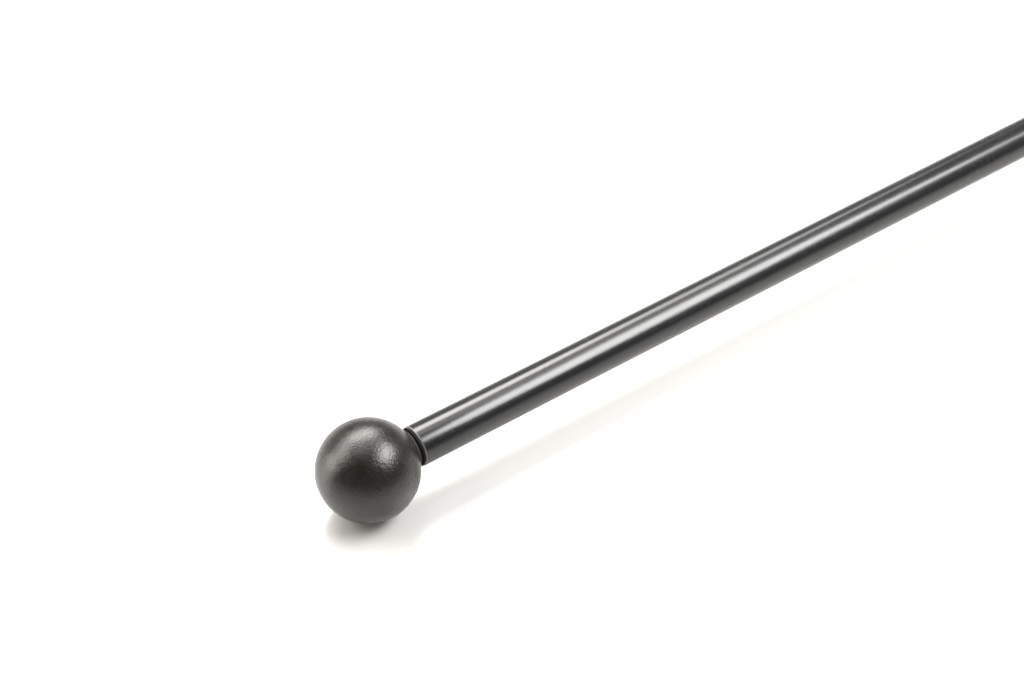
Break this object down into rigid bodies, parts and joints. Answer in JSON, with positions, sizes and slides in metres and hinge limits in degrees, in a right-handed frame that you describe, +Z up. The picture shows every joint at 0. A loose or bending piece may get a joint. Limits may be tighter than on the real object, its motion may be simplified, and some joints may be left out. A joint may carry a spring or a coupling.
{
  "type": "devil stick",
  "caption": "Straight black tube juggling stick with a matt rubber ball screwed onto each end.",
  "frame": {"origin": "the middle of the stick's axis, halfway between the two balls", "axes": "+X along the stick, +Z up, with the stick lying level on its two balls"},
  "size_m": [0.65, 0.0384, 0.0384],
  "materials": {
    "black_anodised_tube": "black anodised, drawn tube with a satin gloss",
    "black_nylon": "moulded matt black",
    "black_rubber": "moulded matt rubber with a fine grain and a light bloom",
    "zinc_plated_steel": "bright zinc plate",
    "brass_bush": "turned"
  },
  "bodies": {
    "root": {"shaft_tube": "black_anodised_tube", "left_tube_insert": "black_nylon", "left_insert_bush": "zinc_plated_steel", "left_stud": "zinc_plated_steel", "left_ball": "black_rubber", "left_ball_bush": "brass_bush", "right_tube_insert": "black_nylon", "right_insert_bush": "zinc_plated_steel", "right_stud": "zinc_plated_steel", "right_ball": "black_rubber", "right_ball_bush": "brass_bush"}
  },
  "joints": []
}
